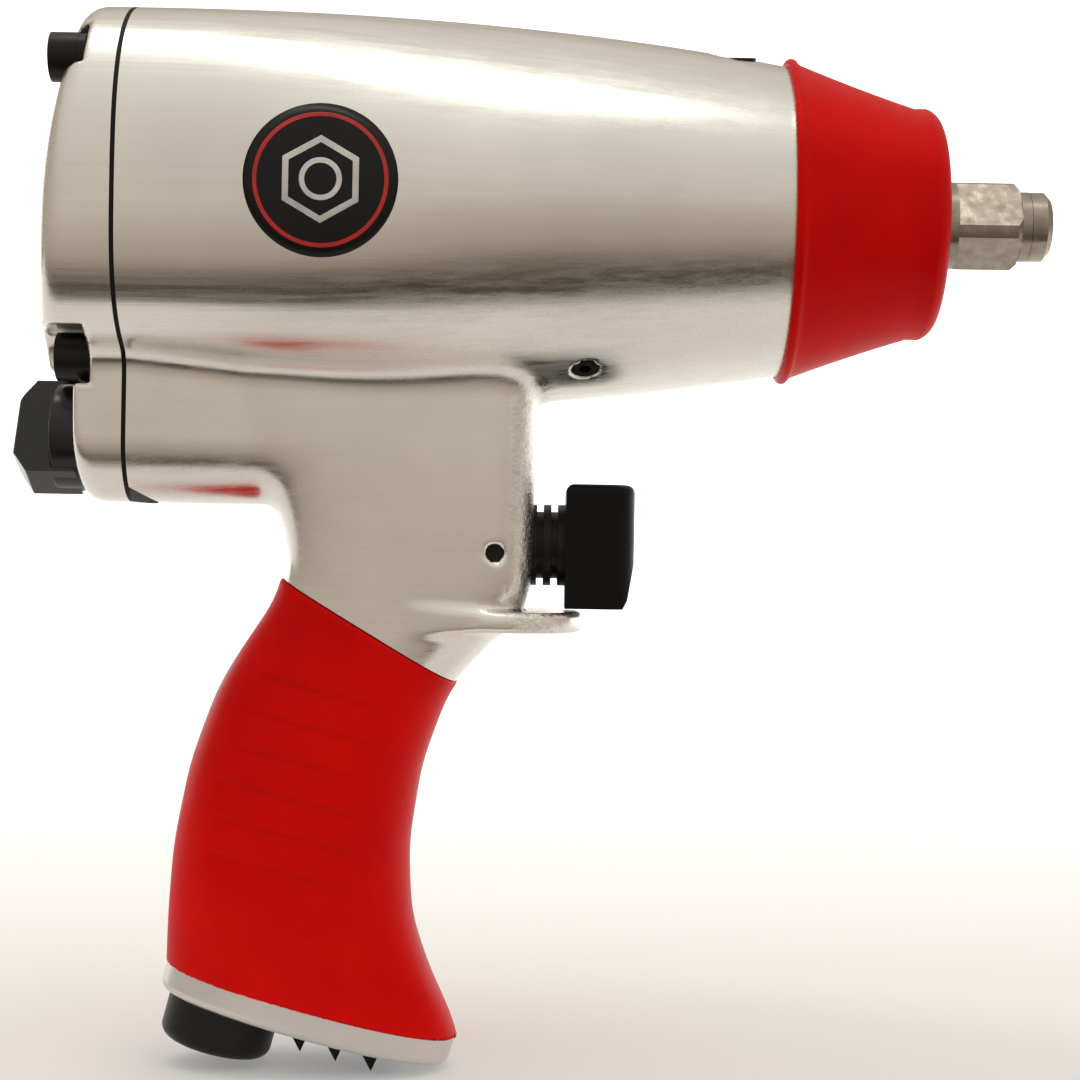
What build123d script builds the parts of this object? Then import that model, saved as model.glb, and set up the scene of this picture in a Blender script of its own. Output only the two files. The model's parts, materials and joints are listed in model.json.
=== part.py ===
from build123d import *
import os
from math import cos, pi, radians, sin

# 1/2 inch air impact wrench with a pistol grip.
# Millimetres. +X is forward along the spindle, +Y is the tool's left side, +Z is up.
# The origin is on the spindle axis, at the shoulder where the square drive begins.

# ---- driving dimensions: outside of the body ----
SEAM_X = -146.9              # rear end of the motor housing
GASKET = 0.8                 # rear gasket thickness
NOSE_X = -31.8               # where the bare barrel ends and the rubber boot begins
BARREL_HALF = 36.3           # half height and half width of the barrel at the rear
NOSE_HALF = 28.1             # its radius at the nose
BARREL_FLAT = 2.7            # squareness of the rear section's upper half (2 is a circle)
UPPER_DROP = 1.0             # how much lower than its half width the rear section rises
LOWER_DROP = 6.2             # how much shallower the rear section is below the axis
ROUND_X = -72.0              # ahead of this the barrel is round
LUMP_HALF = 22.0             # half width of the valve housing under the barrel
LUMP_FRONT_HALF = 15.0
LUMP_FRONT_X = -108.0
LUMP_BOTTOM = -53.3
LUMP_CORNER = 11.0

# ---- driving dimensions: handle ----
# height, rear edge, front edge, half width, squareness
HANDLE_SECTIONS = [
    (-26.0, -134.0, -76.0, 18.0, 4.0),
    (-44.0, -128.0, -75.8, 17.8, 4.0),
    (-54.0, -121.5, -75.8, 17.5, 3.8),
    (-64.0, -119.8, -75.9, 17.2, 3.6),
    (-71.0, -122.0, -76.3, 17.0, 3.4),
    (-77.0, -126.5, -82.5, 17.0, 3.2),
    (-86.0, -132.0, -91.0, 17.2, 3.0),
    (-100.0, -137.0, -96.0, 17.4, 2.7),
    (-115.0, -139.9, -98.2, 17.0, 2.5),
    (-128.0, -140.8, -97.5, 16.0, 2.4),
    (-138.0, -141.0, -94.0, 15.4, 2.4),
    (-147.0, -141.3, -89.5, 15.2, 2.4),
    (-157.0, -141.6, -87.0, 15.2, 2.4),
]
SLEEVE_WALL = 2.6            # rubber thickness below the metal's own outline
SLEEVE_PROUD = 0.5           # how far the rubber stands out past the metal
SLEEVE_TOP_AT = (-112.7, -71.0)
SLEEVE_TOP_SLOPE = 30.5      # the rubber's upper edge falls forward by this angle
BASE_CENTRE = (-115.0, -143.2)
BASE_TILT = 14.5             # the base falls forward by this angle
BASE_HALF_LENGTH = 27.2
BASE_HALF_WIDTH = 15.2
BASE_THICK = 5.0
LEDGE_MIDDLE = -86.0
LEDGE_HALF_WIDTH = 17.2
LEDGE_TOP = -71.8
LEDGE_THICK = 3.7
LEDGE_TIP = -66.8

LABEL_AT = (-112.4, 0.9)
LABEL_R = 13.0
LABEL_THICK = 0.4
OIL_PLUG_X = -67.2
OIL_PLUG_TURN = 28.5         # from straight down towards the right flank
OIL_PLUG_R = 2.35
OIL_PLUG_TOP = 32.6          # distance of its outer face from the spindle axis
NOSE_PLUG_X = -41.3
NOSE_PLUG_TURN = 12.0        # from straight up towards the right flank
NOSE_PLUG_R = 4.2
NOSE_PLUG_TOP = 29.5

# ---- driving dimensions: motor ----
MOTOR_BORE = 26.5
REAR_PLATE_X = (-146.9, -138.0)
LINER_X = (-138.0, -100.0)
FRONT_PLATE_X = (-100.0, -91.0)
LINER_BORE = 19.0
LINER_OFFSET = 2.2           # the liner's bore is this far above the axis
PORTS_X = (-128.0, -112.0)   # air ports between the reverse valve and the liner
PORT_Y = 4.5
ROTOR_R = 16.6
VANES = 6
VANE_THICK = 1.7
VANE_DEPTH = 7.5
BEARING_R = (5.0, 13.0)      # 10 x 26 x 8 ball bearings
BEARING_W = 8.0
RUN = 0.05                   # running fit, on the radius

# ---- driving dimensions: hammers and anvil ----
HAMMER_CAVITY = 26.0
HAMMER_CAVITY_X = (-91.0, -42.0)
FRAME_R = 25.4
FRAME_X = (-90.0, -44.0)
FRAME_PLATE = 5.0
HAMMER_R = 21.0
HAMMER_HOLE = 13.8
HAMMER_THICK = 16.4
PIN_R = 3.2
PIN_OFFSET = 20.8
ANVIL_CORE = 9.0
ANVIL_LOBE = 11.3
ANVIL_COLLAR = 10.5
ANVIL_SHAFT = 7.9
SQUARE = 12.7                # 1/2 inch drive
SQUARE_LENGTH = 11.6
SQUARE_TURN = -30.5          # how far the square is turned about the spindle
RING_GROOVE = (11.6, 13.6)
ANVIL_END = 17.4
BUSHING_X = (-36.0, -8.0)
BUSHING_R = 11.5
BOOT_FRONT = -3.3
BOOT_HOLE = 9.6

# ---- driving dimensions: rear cover, reverse valve ----
COVER_APEX = -165.0
COVER_DOME = 110.0
COVER_DOME_Z = -9.0
COVER_ROOM_R = 22.0          # opening of the cover and gasket over the rear bearing
UPPER_SCREW = (26.5, 22.5)
LOWER_SCREW = (17.5, -28.2)
SEAT_X = -153.4              # face under the lock washers
SCREW_R = 2.5                # M5
SCREW_HEAD_R = 4.25
SCREW_HEAD = 5.0
SCREW_LENGTH = 24.0
VALVE_Z = -41.6
KNOB_R = 9.75
KNOB_FACE = -156.4
KNOB_DISC = 6.8
KNOB_TIP = -170.4
KNOB_TURN = -28.0            # the bar of the knob, turned about its axis
SPOOL_R = 7.0
SPOOL_NECK_R = 5.0
SPOOL_GROOVES = (-144.0, -118.0)
VALVE_SLEEVE_R = 8.6
SPOOL_FRONT = -112.0
DETENT_R = 7.2

# ---- driving dimensions: trigger and throttle ----
TRIGGER_Z = -59.8
TRIGGER_TRAVEL = 4.5
PLUNGER_R = 7.4
PLUNGER_REAR = -88.0
PUSH_ROD_R = 3.5
TRIGGER_FACE = -57.5
TRIGGER_PIN_AT = (-82.6, -61.3)
TRIGGER_PIN_R = 1.5
STEM_R = 1.9
STEM_AT = (-97.0, -59.8)     # where the stem crosses the trigger's axis
STEM_LEAN = 15.0             # the tilt valve leans forward by this angle
STEM_ARM = 24.0              # from there down to the valve seat
VALVE_HEAD_R = 5.5
VALVE_SEAT_R = 6.6

# ---- driving dimensions: air inlet and exhaust ----
INLET_S = -15.0              # along the base, from its centre
INLET_FLANGE_R = 10.2
INLET_FLANGE = 8.3
INLET_SHANK_R = 7.6
INLET_BORE_R = 5.65          # 1/4 inch pipe thread
INLET_SHANK = 16.0
EXHAUST_S = 7.0
EXHAUST_HALF = (10.0, 9.0)
CHAMBER_S = 2.0
RIBS = 3
RIB_PITCH = 6.6
RIB_DROP = 3.4

FAR = 400.0


# ---- small helpers ----
def rod_x(radius, x0, x1, y=0.0, z=0.0):
    """A round bar along X."""
    return Pos((x0 + x1) / 2, y, z) * Rot(0, 90, 0) * Cylinder(radius, x1 - x0)


def ring_x(outer, inner, x0, x1, y=0.0, z=0.0):
    return rod_x(outer, x0, x1, y, z) - rod_x(inner, x0 - 1, x1 + 1, y, z)


def rod_y(radius, x, z, y0, y1):
    return Pos(x, (y0 + y1) / 2, z) * Rot(90, 0, 0) * Cylinder(radius, y1 - y0)


def block(x0, x1, y0, y1, z0, z1):
    return Pos((x0 + x1) / 2, (y0 + y1) / 2, (z0 + z1) / 2) * Box(x1 - x0, y1 - y0, z1 - z0)


def spin_x(points):
    """Turn a closed outline of (x, radius) points about the spindle axis."""
    outline = make_face(Polyline(*[(x, 0, r) for x, r in points], close=True))
    return revolve(outline, Axis.X)


def rod_between(radius, start, end):
    start, end = Vector(*start), Vector(*end)
    way = end - start
    return Plane(origin=start, z_dir=way.normalized()) * Cylinder(
        radius, way.length, align=(Align.CENTER, Align.CENTER, Align.MIN))


def oval(half_length, half_width, power, count=36):
    """Points (u, v) of a squared oval."""
    points = []
    for i in range(count):
        c, s = cos(2 * pi * i / count), sin(2 * pi * i / count)
        reach = ((abs(c) / half_length) ** power + (abs(s) / half_width) ** power) ** (-1 / power)
        points.append((reach * c, reach * s))
    return points


def face_through(points):
    """A face inside a smooth closed curve; even parameters keep lofts between such curves smooth."""
    count = len(points)
    places = [Vector(*point) for point in points]
    even = [i / count for i in range(count + 1)]
    return make_face(Edge.make_spline(places, periodic=True, parameters=even))


def loft_in_spans(faces, span=3):
    """Lofts over a few sections at a time follow every section closely."""
    solid = loft(faces[:span + 1])
    for i in range(span, len(faces) - 1, span):
        solid += loft(faces[i:i + span + 1])
    return solid


def ease(value):
    value = min(1.0, max(0.0, value))
    return value * value * (3 - 2 * value)


# ---- frames that lean ----
def base_point(s, down=0.0, y=0.0):
    """A point s along the base and down below the handle's end face."""
    tilt = radians(BASE_TILT)
    x = BASE_CENTRE[0] + s * cos(tilt) - down * sin(tilt)
    z = BASE_CENTRE[1] - s * sin(tilt) - down * cos(tilt)
    return (x, y, z)


def base_plane(s=0.0, down=0.0):
    """Local X runs forward along the base and local Z points up out of it."""
    tilt = radians(BASE_TILT)
    forward, up = (cos(tilt), 0, -sin(tilt)), (sin(tilt), 0, cos(tilt))
    return Plane(origin=base_point(s, down), x_dir=forward, z_dir=up)


def stem_point(down, forward=0.0):
    """A point down the tilt valve's axis from the trigger's axis."""
    lean = radians(STEM_LEAN)
    x = STEM_AT[0] - down * sin(lean) + forward * cos(lean)
    z = STEM_AT[1] - down * cos(lean) - forward * sin(lean)
    return (x, 0, z)


def stem_rod(radius, down0, down1):
    return rod_between(radius, stem_point(down1), stem_point(down0))


# ---- body outlines ----
def barrel_half(x):
    along = min(1.0, (x - NOSE_X) / (SEAM_X - NOSE_X))
    return NOSE_HALF + (BARREL_HALF - NOSE_HALF) * (1 - (1 - along) ** 2.4)


def barrel_section(x, grow=0.0):
    """The barrel's outline at x: a rounded square at the rear, a circle ahead of ROUND_X."""
    square = ease((ROUND_X - x) / (ROUND_X - SEAM_X))
    half = barrel_half(x) + grow
    points = []
    count = 40
    for i in range(count):
        c, s = cos(2 * pi * i / count), sin(2 * pi * i / count)
        power = 2 + (BARREL_FLAT - 2) * square if s > 0 else 2 + square
        height = half - (UPPER_DROP if s > 0 else LOWER_DROP) * square
        reach = ((abs(c) / half) ** power + (abs(s) / height) ** power) ** (-1 / power)
        points.append((x, reach * c, reach * s))
    return face_through(points)


def barrel_solid(grow=0.0):
    stations = [SEAM_X, -118.0, -90.0, -62.0, NOSE_X]
    return loft([barrel_section(x, grow) for x in stations])


def lump_section(x, half):
    """The valve housing's outline at x, from its rounded bottom up into the barrel."""
    outline = RectangleRounded(2 * half, LUMP_CORNER - LUMP_BOTTOM, LUMP_CORNER)
    middle = (LUMP_CORNER + LUMP_BOTTOM) / 2
    plane = Plane(origin=(x, 0, middle), x_dir=(0, 1, 0), z_dir=(1, 0, 0))
    return plane * outline


def handle_solid(grow=0.0):
    faces = []
    for z, rear, front, half_width, power in HANDLE_SECTIONS:
        middle = (rear + front) / 2
        outline = oval((front - rear) / 2 + grow, half_width + grow, power)
        faces.append(face_through([(middle + u, v, z) for u, v in outline]))
    return loft_in_spans(faces)


def above_base(length=FAR):
    """Everything above the handle's end face."""
    return base_plane() * Box(FAR, FAR, length, align=(Align.CENTER, Align.CENTER, Align.MIN))


def above_sleeve_edge():
    slope = radians(SLEEVE_TOP_SLOPE)
    edge = Plane(origin=(SLEEVE_TOP_AT[0], 0, SLEEVE_TOP_AT[1]),
                 x_dir=(cos(slope), 0, -sin(slope)), z_dir=(sin(slope), 0, cos(slope)))
    return edge * Box(FAR, FAR, FAR, align=(Align.CENTER, Align.CENTER, Align.MIN))


def rear_prism(x0, x1):
    """The rear section, barrel and valve housing together, as a prism between two x values."""
    upper_section = Pos(x1 - SEAM_X, 0, 0) * barrel_section(SEAM_X)
    upper = extrude(upper_section, amount=x1 - x0, dir=(-1, 0, 0))
    lower = extrude(lump_section(x1, LUMP_HALF), amount=x1 - x0, dir=(-1, 0, 0))
    return upper + lower


def screw_places():
    return [(side * y, z) for y, z in (UPPER_SCREW, LOWER_SCREW) for side in (-1, 1)]


# ---- housing body: outside ----
def nose_outline():
    return [(NOSE_X - 2, 0), (NOSE_X - 2, 25.5), (NOSE_X, 25.5), (-26.0, 24.2), (-7.4, 18.0), (-6.5, 16.8),
            (-6.5, 0)]


def motor_housing():
    body = barrel_solid()
    body += loft([lump_section(SEAM_X, LUMP_HALF), lump_section(LUMP_FRONT_X, LUMP_FRONT_HALF)])
    body += handle_solid() & above_sleeve_edge()
    body += handle_solid(-SLEEVE_WALL) & above_base()
    body += ledge()
    body += spin_x(nose_outline())
    return body - housing_bores()


def ledge():
    """The rest for the middle finger under the trigger."""
    outline = oval(LEDGE_TIP - LEDGE_MIDDLE, LEDGE_HALF_WIDTH, 3.0)
    face = face_through([(LEDGE_MIDDLE + u, v, LEDGE_TOP - LEDGE_THICK) for u, v in outline])
    return extrude(face, amount=LEDGE_THICK, dir=(0, 0, 1))


def housing_bores():
    cuts = rod_x(MOTOR_BORE, SEAM_X - 5, FRONT_PLATE_X[1])
    cuts += rod_x(HAMMER_CAVITY, FRONT_PLATE_X[1] - 1, HAMMER_CAVITY_X[1])
    cuts += rod_x(ANVIL_COLLAR + 1.6, HAMMER_CAVITY_X[1] - 1, BUSHING_X[0])
    cuts += rod_x(BUSHING_R, BUSHING_X[0] - 1, 0)
    cuts += rod_x(VALVE_SLEEVE_R, SEAM_X - 5, -99.0, 0, VALVE_Z)
    for y, z in screw_places():
        cuts += rod_x(SCREW_R, SEAM_X - 5, SEAT_X + SCREW_LENGTH + 1, y, z)
    cuts += air_ways()
    cuts += rod_x(PLUNGER_R + RUN, PLUNGER_REAR - TRIGGER_TRAVEL - 1, -60.0, 0, TRIGGER_Z)
    cuts += rod_y(TRIGGER_PIN_R, TRIGGER_PIN_AT[0], TRIGGER_PIN_AT[1], -30, 30)
    cuts += oil_hole()
    cuts += nose_hole()
    return cuts


def air_ways():
    """Throttle chamber, inlet gallery and exhaust galleries of the handle."""
    ways = block(-108.0, -91.0, -5.5, 5.5, -72.0, -46.0)
    ways += stem_rod(5.5, 8.0, STEM_ARM - 3)
    ways += stem_rod(VALVE_SEAT_R, STEM_ARM - 3.5, STEM_ARM + 14)
    elbow = base_point(INLET_S, -22.0)
    ways += rod_between(5.6, stem_point(STEM_ARM + 12), elbow)
    ways += rod_between(INLET_SHANK_R, base_point(INLET_S, 5), base_point(INLET_S, -20.0))
    ways += rod_between(5.6, base_point(INLET_S, -18.0), elbow)
    ways += base_plane(CHAMBER_S) * Box(12, 16, 24, align=(Align.CENTER, Align.CENTER, Align.MIN))
    ways += base_plane(EXHAUST_S) * Box(2 * EXHAUST_HALF[0] - 2, 2 * EXHAUST_HALF[1] - 2, 6)
    for side in (-1, 1):
        ways += rod_between(2.3, (-88.0, side * 10.4, -40.0), base_point(CHAMBER_S, -20.0, side * 6.0))
    for x, y in port_places():
        ways += Pos(x, y, -31.0) * Cylinder(2.5, 14)
    return ways


def port_places():
    return [(x, side * PORT_Y) for x in PORTS_X for side in (-1, 1)]


def oil_hole():
    return Rot(180 - OIL_PLUG_TURN, 0, 0) * Pos(OIL_PLUG_X, 0, 30) * Cylinder(OIL_PLUG_R, 20)


def nose_hole():
    return Rot(NOSE_PLUG_TURN, 0, 0) * Pos(NOSE_PLUG_X, 0, 30) * Cylinder(NOSE_PLUG_R, 12)


def rear_cover():
    cover = rear_prism(COVER_APEX - 3, SEAM_X - GASKET)
    cover &= Pos(COVER_APEX + COVER_DOME, 0, COVER_DOME_Z) * Sphere(COVER_DOME)
    cover -= block(-200, KNOB_FACE + 0.2, -40, 40, -80, VALVE_Z + KNOB_R + 1.2)
    cover -= rod_x(COVER_ROOM_R, -156.0, SEAM_X)
    cover -= rod_x(SPOOL_NECK_R + RUN, -170, SEAM_X, 0, VALVE_Z)
    cover -= rod_x(1.7, KNOB_FACE - 1, KNOB_FACE + 6.2, 0, VALVE_Z - DETENT_R)
    for y, z in screw_places():
        cover -= rod_x(SCREW_R + 0.15, -170, SEAM_X, y, z)
        cover -= screw_seat(y, z)
    return cover


def screw_seat(y, z):
    """The counterbore over a screw, open outward to the edge of the cover."""
    seat = rod_x(5.2, -175, SEAT_X, y, z)
    if z > 0:
        lean = -45 if y > 0 else 45
        seat += Pos(0, y, z) * Rot(lean, 0, 0) * block(-175, SEAT_X, -5.2, 5.2, 0, 25)
    else:
        out = 20 if y > 0 else -20
        seat += block(-175, SEAT_X, min(y, y + out), max(y, y + out), z - 3.6, z + 5.2)
    return seat


def rear_gasket():
    gasket = rear_prism(SEAM_X - GASKET, SEAM_X)
    gasket -= rod_x(COVER_ROOM_R, -160, -140)
    gasket -= rod_x(SPOOL_R + 0.3, -160, -140, 0, VALVE_Z)
    for y, z in screw_places():
        gasket -= rod_x(SCREW_R + 0.2, -160, -140, y, z)
    return gasket


def cover_screw(y, z):
    under = SEAT_X - 1.3
    screw = rod_x(SCREW_R, under, under + SCREW_LENGTH, y, z)
    screw += rod_x(SCREW_HEAD_R, under - SCREW_HEAD, under, y, z)
    socket = Pos(under - SCREW_HEAD, y, z) * Rot(0, 90, 0) * extrude(RegularPolygon(2.3, 6), 2.6)
    return screw - socket


def lock_washer(y, z):
    washer = ring_x(SCREW_HEAD_R - 0.1, SCREW_R + 0.05, SEAT_X - 1.3, SEAT_X, y, z)
    split = Pos(SEAT_X, y, z) * Rot(20, 0, 0) * block(-3, 3, -0.4, 0.4, 0, 8)
    return washer - split


def nose_boot():
    front_corner = 3.4
    outer = [(NOSE_X + 0.1, 28.4), (NOSE_X + 0.5, 29.5), (-30.0, 29.6), (-29.5, 28.9), (-26.2, 27.5),
             (-20.0, 25.0), (-13.5, 22.9), (-7.2, 21.2)]
    for step in range(1, 7):
        turn = radians(90 * step / 6)
        outer.append((BOOT_FRONT - front_corner * (1 - sin(turn)), 20.6 - front_corner * (1 - cos(turn))))
    inner = [(BOOT_FRONT, BOOT_HOLE), (-6.5, BOOT_HOLE), (-6.5, 16.8), (-7.4, 18.0), (-26.0, 24.2),
             (NOSE_X + 0.1, 25.5)]
    return spin_x(outer + inner)


def grip_sleeve():
    skin = handle_solid(SLEEVE_PROUD) & above_base()
    skin -= above_sleeve_edge()
    return skin - handle_solid(-SLEEVE_WALL)


def base_plate():
    outline = face_through([(u, v, 0) for u, v in oval(BASE_HALF_LENGTH, BASE_HALF_WIDTH, 2.3)])
    plate = extrude(base_plane(0, BASE_THICK) * outline, amount=BASE_THICK, dir=base_plane().z_dir)
    plate = fillet(plate.faces().sort_by(Axis.Z)[0].edges(), 1.6)
    plate -= rod_between(INLET_SHANK_R + 0.1, base_point(INLET_S, 12), base_point(INLET_S, -2))
    return plate - base_plane(EXHAUST_S, BASE_THICK + 1) * Box(2 * EXHAUST_HALF[0], 2 * EXHAUST_HALF[1], 20)


def inlet_bushing():
    low, top = BASE_THICK + INLET_FLANGE, -INLET_SHANK
    flange = rod_between(INLET_FLANGE_R, base_point(INLET_S, low), base_point(INLET_S, BASE_THICK))
    flange = fillet(flange.edges().filter_by(GeomType.CIRCLE).sort_by(Axis.Z)[0], 2.2)
    bushing = flange + rod_between(INLET_SHANK_R, base_point(INLET_S, BASE_THICK), base_point(INLET_S, top))
    return bushing - rod_between(INLET_BORE_R, base_point(INLET_S, low + 5), base_point(INLET_S, top - 5))


def inlet_strainer():
    top = -INLET_SHANK
    cup = rod_between(5.2, base_point(INLET_S, top), base_point(INLET_S, top - 5.5))
    cup += rod_between(7.4, base_point(INLET_S, top), base_point(INLET_S, top - 1.2))
    return cup - rod_between(4.6, base_point(INLET_S, top + 1), base_point(INLET_S, top - 4.9))


def exhaust_deflector():
    """A plug in the base plate's window, with a slot and a slanted rib for each louvre."""
    length, width = 2 * EXHAUST_HALF[0] - 0.2, 2 * EXHAUST_HALF[1] - 0.2
    upward = (Align.CENTER, Align.CENTER, Align.MIN)
    body = base_plane(EXHAUST_S, BASE_THICK) * Box(length, width, BASE_THICK, align=upward)
    for i in range(RIBS):
        s = EXHAUST_S + RIB_PITCH * (i - (RIBS - 1) / 2)
        body -= base_plane(s, BASE_THICK - 2.5) * Box(3.0, width - 4, 12)
        body += louvre(s, width - 1)
    return body


def louvre(s, width):
    plane = base_plane(s, BASE_THICK)
    outline = make_face(Polyline((-2.6, 0, 0), (1.2, 0, 0), (0.6, 0, -RIB_DROP), close=True))
    rib = extrude(outline, amount=width / 2, both=True)
    return plane * rib


def label_disc():
    skin = barrel_solid(LABEL_THICK) - barrel_solid()
    return skin & rod_y(LABEL_R, LABEL_AT[0], LABEL_AT[1], -60, -20)


# ---- housing body: inside ----
def ball_ring(x):
    """Eight balls of a ball bearing."""
    middle = (BEARING_R[0] + BEARING_R[1]) / 2
    balls = []
    for i in range(8):
        turn = 2 * pi * i / 8
        balls.append(Pos(x, middle * cos(turn), middle * sin(turn)) * Sphere(2.35))
    return Compound(children=balls)


def bearing_race(x0, outer):
    middle = (BEARING_R[0] + BEARING_R[1]) / 2
    if outer:
        race = ring_x(BEARING_R[1], middle + 1.3, x0, x0 + BEARING_W)
    else:
        race = ring_x(middle - 1.3, BEARING_R[0], x0, x0 + BEARING_W)
    return race - Pos(x0 + BEARING_W / 2, 0, 0) * Rot(0, 90, 0) * Torus(middle, 2.4)


def rear_bearing_outer():
    return bearing_race(REAR_PLATE_X[0], True)


def rear_bearing_inner():
    return bearing_race(REAR_PLATE_X[0], False)


def rear_bearing_balls():
    return ball_ring(REAR_PLATE_X[0] + BEARING_W / 2)


def front_bearing_outer():
    return bearing_race(FRONT_PLATE_X[1] - BEARING_W, True)


def front_bearing_inner():
    return bearing_race(FRONT_PLATE_X[1] - BEARING_W, False)


def front_bearing_balls():
    return ball_ring(FRONT_PLATE_X[1] - BEARING_W / 2)


def rear_end_plate():
    plate = ring_x(MOTOR_BORE, BEARING_R[0] + 1.5, *REAR_PLATE_X)
    plate -= rod_x(BEARING_R[1], REAR_PLATE_X[0] - 1, REAR_PLATE_X[0] + BEARING_W)
    return plate - dowel_hole()


def front_end_plate():
    plate = ring_x(MOTOR_BORE, BEARING_R[0] + 1.5, *FRONT_PLATE_X)
    return plate - rod_x(BEARING_R[1], FRONT_PLATE_X[1] - BEARING_W, FRONT_PLATE_X[1] + 1)


def dowel_hole():
    return rod_x(1.5, -144.0, -132.0, 0, -23.5)


def cylinder_dowel():
    return dowel_hole()


def cylinder_liner():
    liner = rod_x(MOTOR_BORE, *LINER_X) - rod_x(LINER_BORE, LINER_X[0] - 1, LINER_X[1] + 1, 0, LINER_OFFSET)
    for x, y in port_places():
        liner -= Pos(x, y, -22.0) * Cylinder(2.4, 12)
    return liner - dowel_hole()


def anvil_bushing():
    return ring_x(BUSHING_R, ANVIL_SHAFT + RUN, *BUSHING_X)


def thrust_washer():
    return ring_x(ANVIL_COLLAR + 1.4, ANVIL_SHAFT + 0.3, BUSHING_X[0] - 0.8, BUSHING_X[0])


def nose_seal():
    return ring_x(BUSHING_R, ANVIL_SHAFT + 0.04, BUSHING_X[1], -6.6)


def exhaust_muffler():
    return base_plane(CHAMBER_S, -0.4) * Box(11.8, 15.8, 20, align=(Align.CENTER, Align.CENTER, Align.MIN))


def trigger_pin():
    return rod_y(TRIGGER_PIN_R, TRIGGER_PIN_AT[0], TRIGGER_PIN_AT[1], -14.6, 14.6)


def valve_seat():
    seat = stem_rod(VALVE_SEAT_R, STEM_ARM - 3, STEM_ARM)
    return seat - stem_rod(3.9, STEM_ARM - 4, STEM_ARM + 1)


def valve_spring():
    """A light coil spring under the valve head, on the throttle chamber's floor."""
    start = STEM_ARM + 4.2
    lean = radians(STEM_LEAN)
    plane = Plane(origin=stem_point(start + 8.6), x_dir=(0, 1, 0), z_dir=(sin(lean), 0, cos(lean)))
    path = Helix(pitch=2.1, height=8.4, radius=3.6)
    start_plane = Plane(origin=path @ 0, z_dir=path % 0)
    return plane * sweep(start_plane * Circle(0.35), path=path)


def reverse_valve_sleeve():
    sleeve = ring_x(VALVE_SLEEVE_R, SPOOL_R + RUN, SEAM_X, -108.0, 0, VALVE_Z)
    for x, y in port_places():
        sleeve -= Pos(x, y, VALVE_Z + 8) * Cylinder(2.0, 8)
    return sleeve


def detent_spring():
    coils = Helix(pitch=1.1, height=3.3, radius=1.1)
    wire = sweep(Plane(origin=coils @ 0, z_dir=coils % 0) * Circle(0.25), path=coils)
    return Pos(KNOB_FACE + 5.6, 0, VALVE_Z - DETENT_R) * Rot(0, -90, 0) * wire


def detent_ball():
    return Pos(KNOB_FACE + 0.9, 0, VALVE_Z - DETENT_R) * Sphere(1.5)


def oil_plug():
    height = 5.0
    plug = Pos(OIL_PLUG_X, 0, OIL_PLUG_TOP - height / 2) * Cylinder(OIL_PLUG_R, height)
    plug -= Pos(OIL_PLUG_X, 0, OIL_PLUG_TOP - 2.0) * extrude(RegularPolygon(1.2, 6), 4)
    return Rot(180 - OIL_PLUG_TURN, 0, 0) * plug


def nose_plug():
    height = 3.4
    plug = Pos(NOSE_PLUG_X, 0, NOSE_PLUG_TOP - height / 2) * Cylinder(NOSE_PLUG_R, height)
    plug -= Pos(NOSE_PLUG_X, 0, NOSE_PLUG_TOP) * Box(7, 0.9, 2.4)
    return Rot(NOSE_PLUG_TURN, 0, 0) * plug


# ---- rotor body ----
def rotor():
    body = rod_x(ROTOR_R, LINER_X[0] + 0.06, LINER_X[1] - 0.06)
    for i in range(VANES):
        slot = block(LINER_X[0], LINER_X[1], -VANE_THICK / 2, VANE_THICK / 2, ROTOR_R - VANE_DEPTH - 0.4, 30)
        body -= Rot(360 * i / VANES, 0, 0) * slot
    body += rod_x(BEARING_R[0] + 1.2, LINER_X[0] - 0.9, LINER_X[1] + 0.9)
    body += rod_x(BEARING_R[0], REAR_PLATE_X[0] + 0.5, FRONT_PLATE_X[1])
    return body + drive_hex(4.5, FRONT_PLATE_X[1] - 0.5, FRAME_X[0] + 3.9)


def drive_hex(apothem, x0, x1):
    return Pos(x0, 0, 0) * Rot(0, 90, 0) * extrude(RegularPolygon(apothem / cos(pi / 6), 6), x1 - x0)


def rotor_vanes():
    vanes = []
    for i in range(VANES):
        vane = block(LINER_X[0] + 0.1, LINER_X[1] - 0.1, -VANE_THICK / 2 + 0.04, VANE_THICK / 2 - 0.04,
                     ROTOR_R - VANE_DEPTH, ROTOR_R - 0.1)
        vanes.append(Rot(360 * i / VANES, 0, 0) * vane)
    return Compound(children=vanes)


def hammer_frame():
    rear, front = FRAME_X
    frame = rod_x(FRAME_R, rear, front) - rod_x(HAMMER_R + 1.4, rear + FRAME_PLATE + 2, front - FRAME_PLATE)
    for side in (-1, 1):
        window = block(rear + FRAME_PLATE + 2, front - FRAME_PLATE, -14, 14, 0, 40)
        frame -= Rot(90 - side * 90, 0, 0) * window
    frame -= drive_hex(4.55, rear - 1, rear + 4)
    frame -= rod_x(5.05, rear + 4, rear + 9)
    frame -= rod_x(ANVIL_COLLAR + RUN, front - 8, front + 1)
    for side in (-1, 1):
        frame -= rod_x(PIN_R, rear + 2, front + 1, 0, side * PIN_OFFSET)
    return frame


def hammer_pins():
    rear, front = FRAME_X
    return Compound(children=[rod_x(PIN_R, rear + 2, front, 0, side * PIN_OFFSET) for side in (-1, 1)])


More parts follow.
